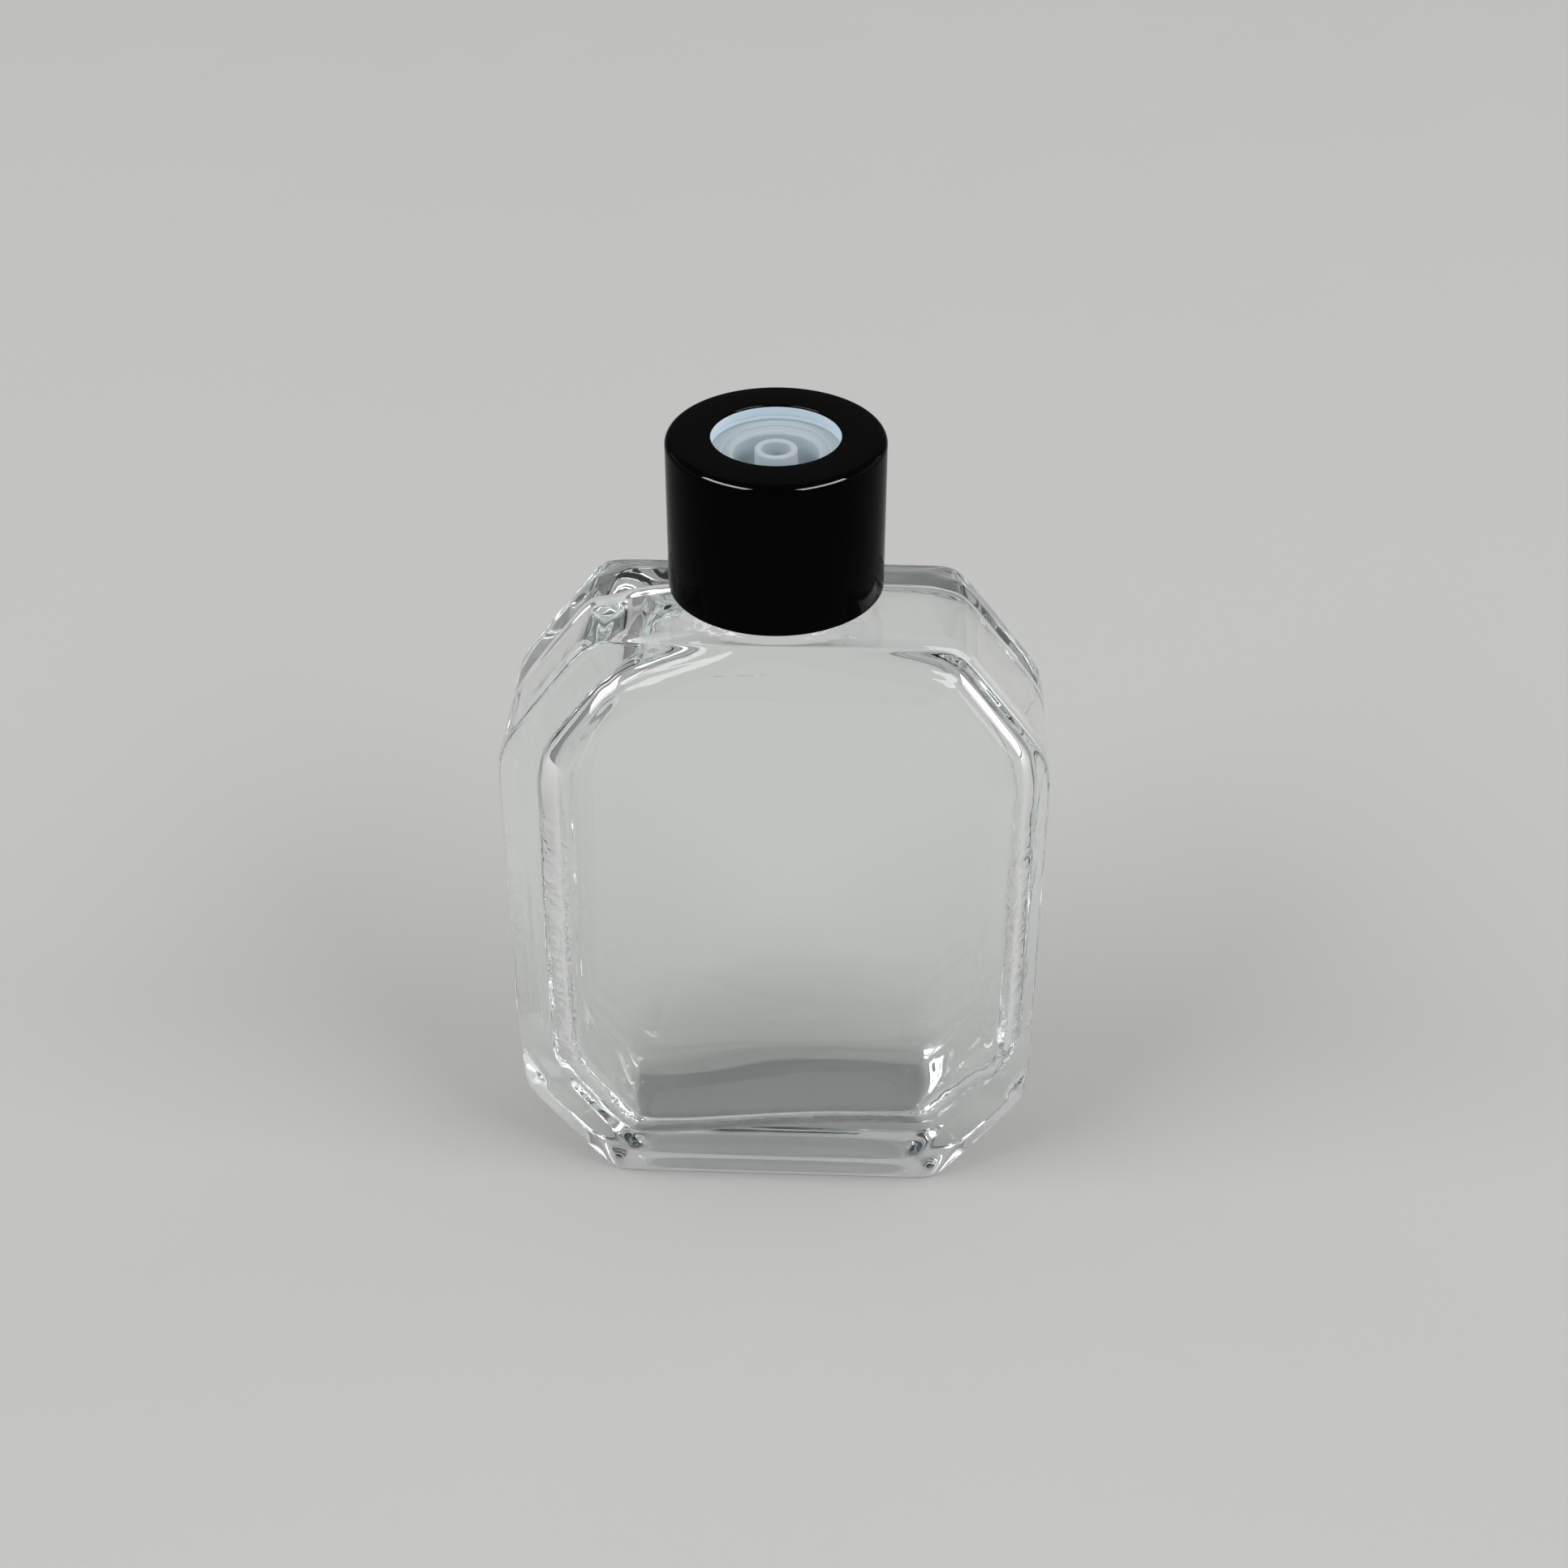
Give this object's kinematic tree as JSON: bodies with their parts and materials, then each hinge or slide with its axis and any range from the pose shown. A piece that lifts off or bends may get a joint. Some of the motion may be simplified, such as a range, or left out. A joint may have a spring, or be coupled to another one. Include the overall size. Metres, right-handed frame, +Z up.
{
  "type": "aftershave bottle",
  "caption": "Faceted clear-glass flask with a glossy black screw collar, an open mouth and a translucent pouring insert.",
  "frame": {"origin": "middle of the base, on the surface that the bottle stands on", "axes": "+Z up along the neck, -Y towards the front face, +X to the right seen from the front"},
  "size_m": [0.071, 0.0272, 0.1136],
  "materials": {
    "clear_glass": "fire-polished clear flint glass",
    "translucent_insert": "natural translucent polyethylene",
    "foam_washer": "white closed-cell foam",
    "white_liner": "bluish white moulded plastic",
    "black_lacquer": "high-gloss black lacquer on drawn aluminium"
  },
  "bodies": {
    "bottle": {"glass_bottle": "clear_glass", "dispenser_insert": "translucent_insert"},
    "seal": {"sealing_washer": "foam_washer"},
    "collar": {"collar_liner": "white_liner", "collar_shell": "black_lacquer"}
  },
  "joints": [
    {"name": "collar_lift", "type": "slide", "parent": "bottle", "child": "seal", "axis": [0, 0, 1], "range_m": [0, 0.0048]},
    {"name": "collar_turn", "type": "hinge", "parent": "seal", "child": "collar", "pos_m": [0, 0, 0.1035], "axis": [0, 0, 1], "range_deg": [0, 540]}
  ],
  "couplings": [
    {"joint": "collar_lift", "follows": "collar_turn", "m_per_rad": 0.00050532}
  ]
}
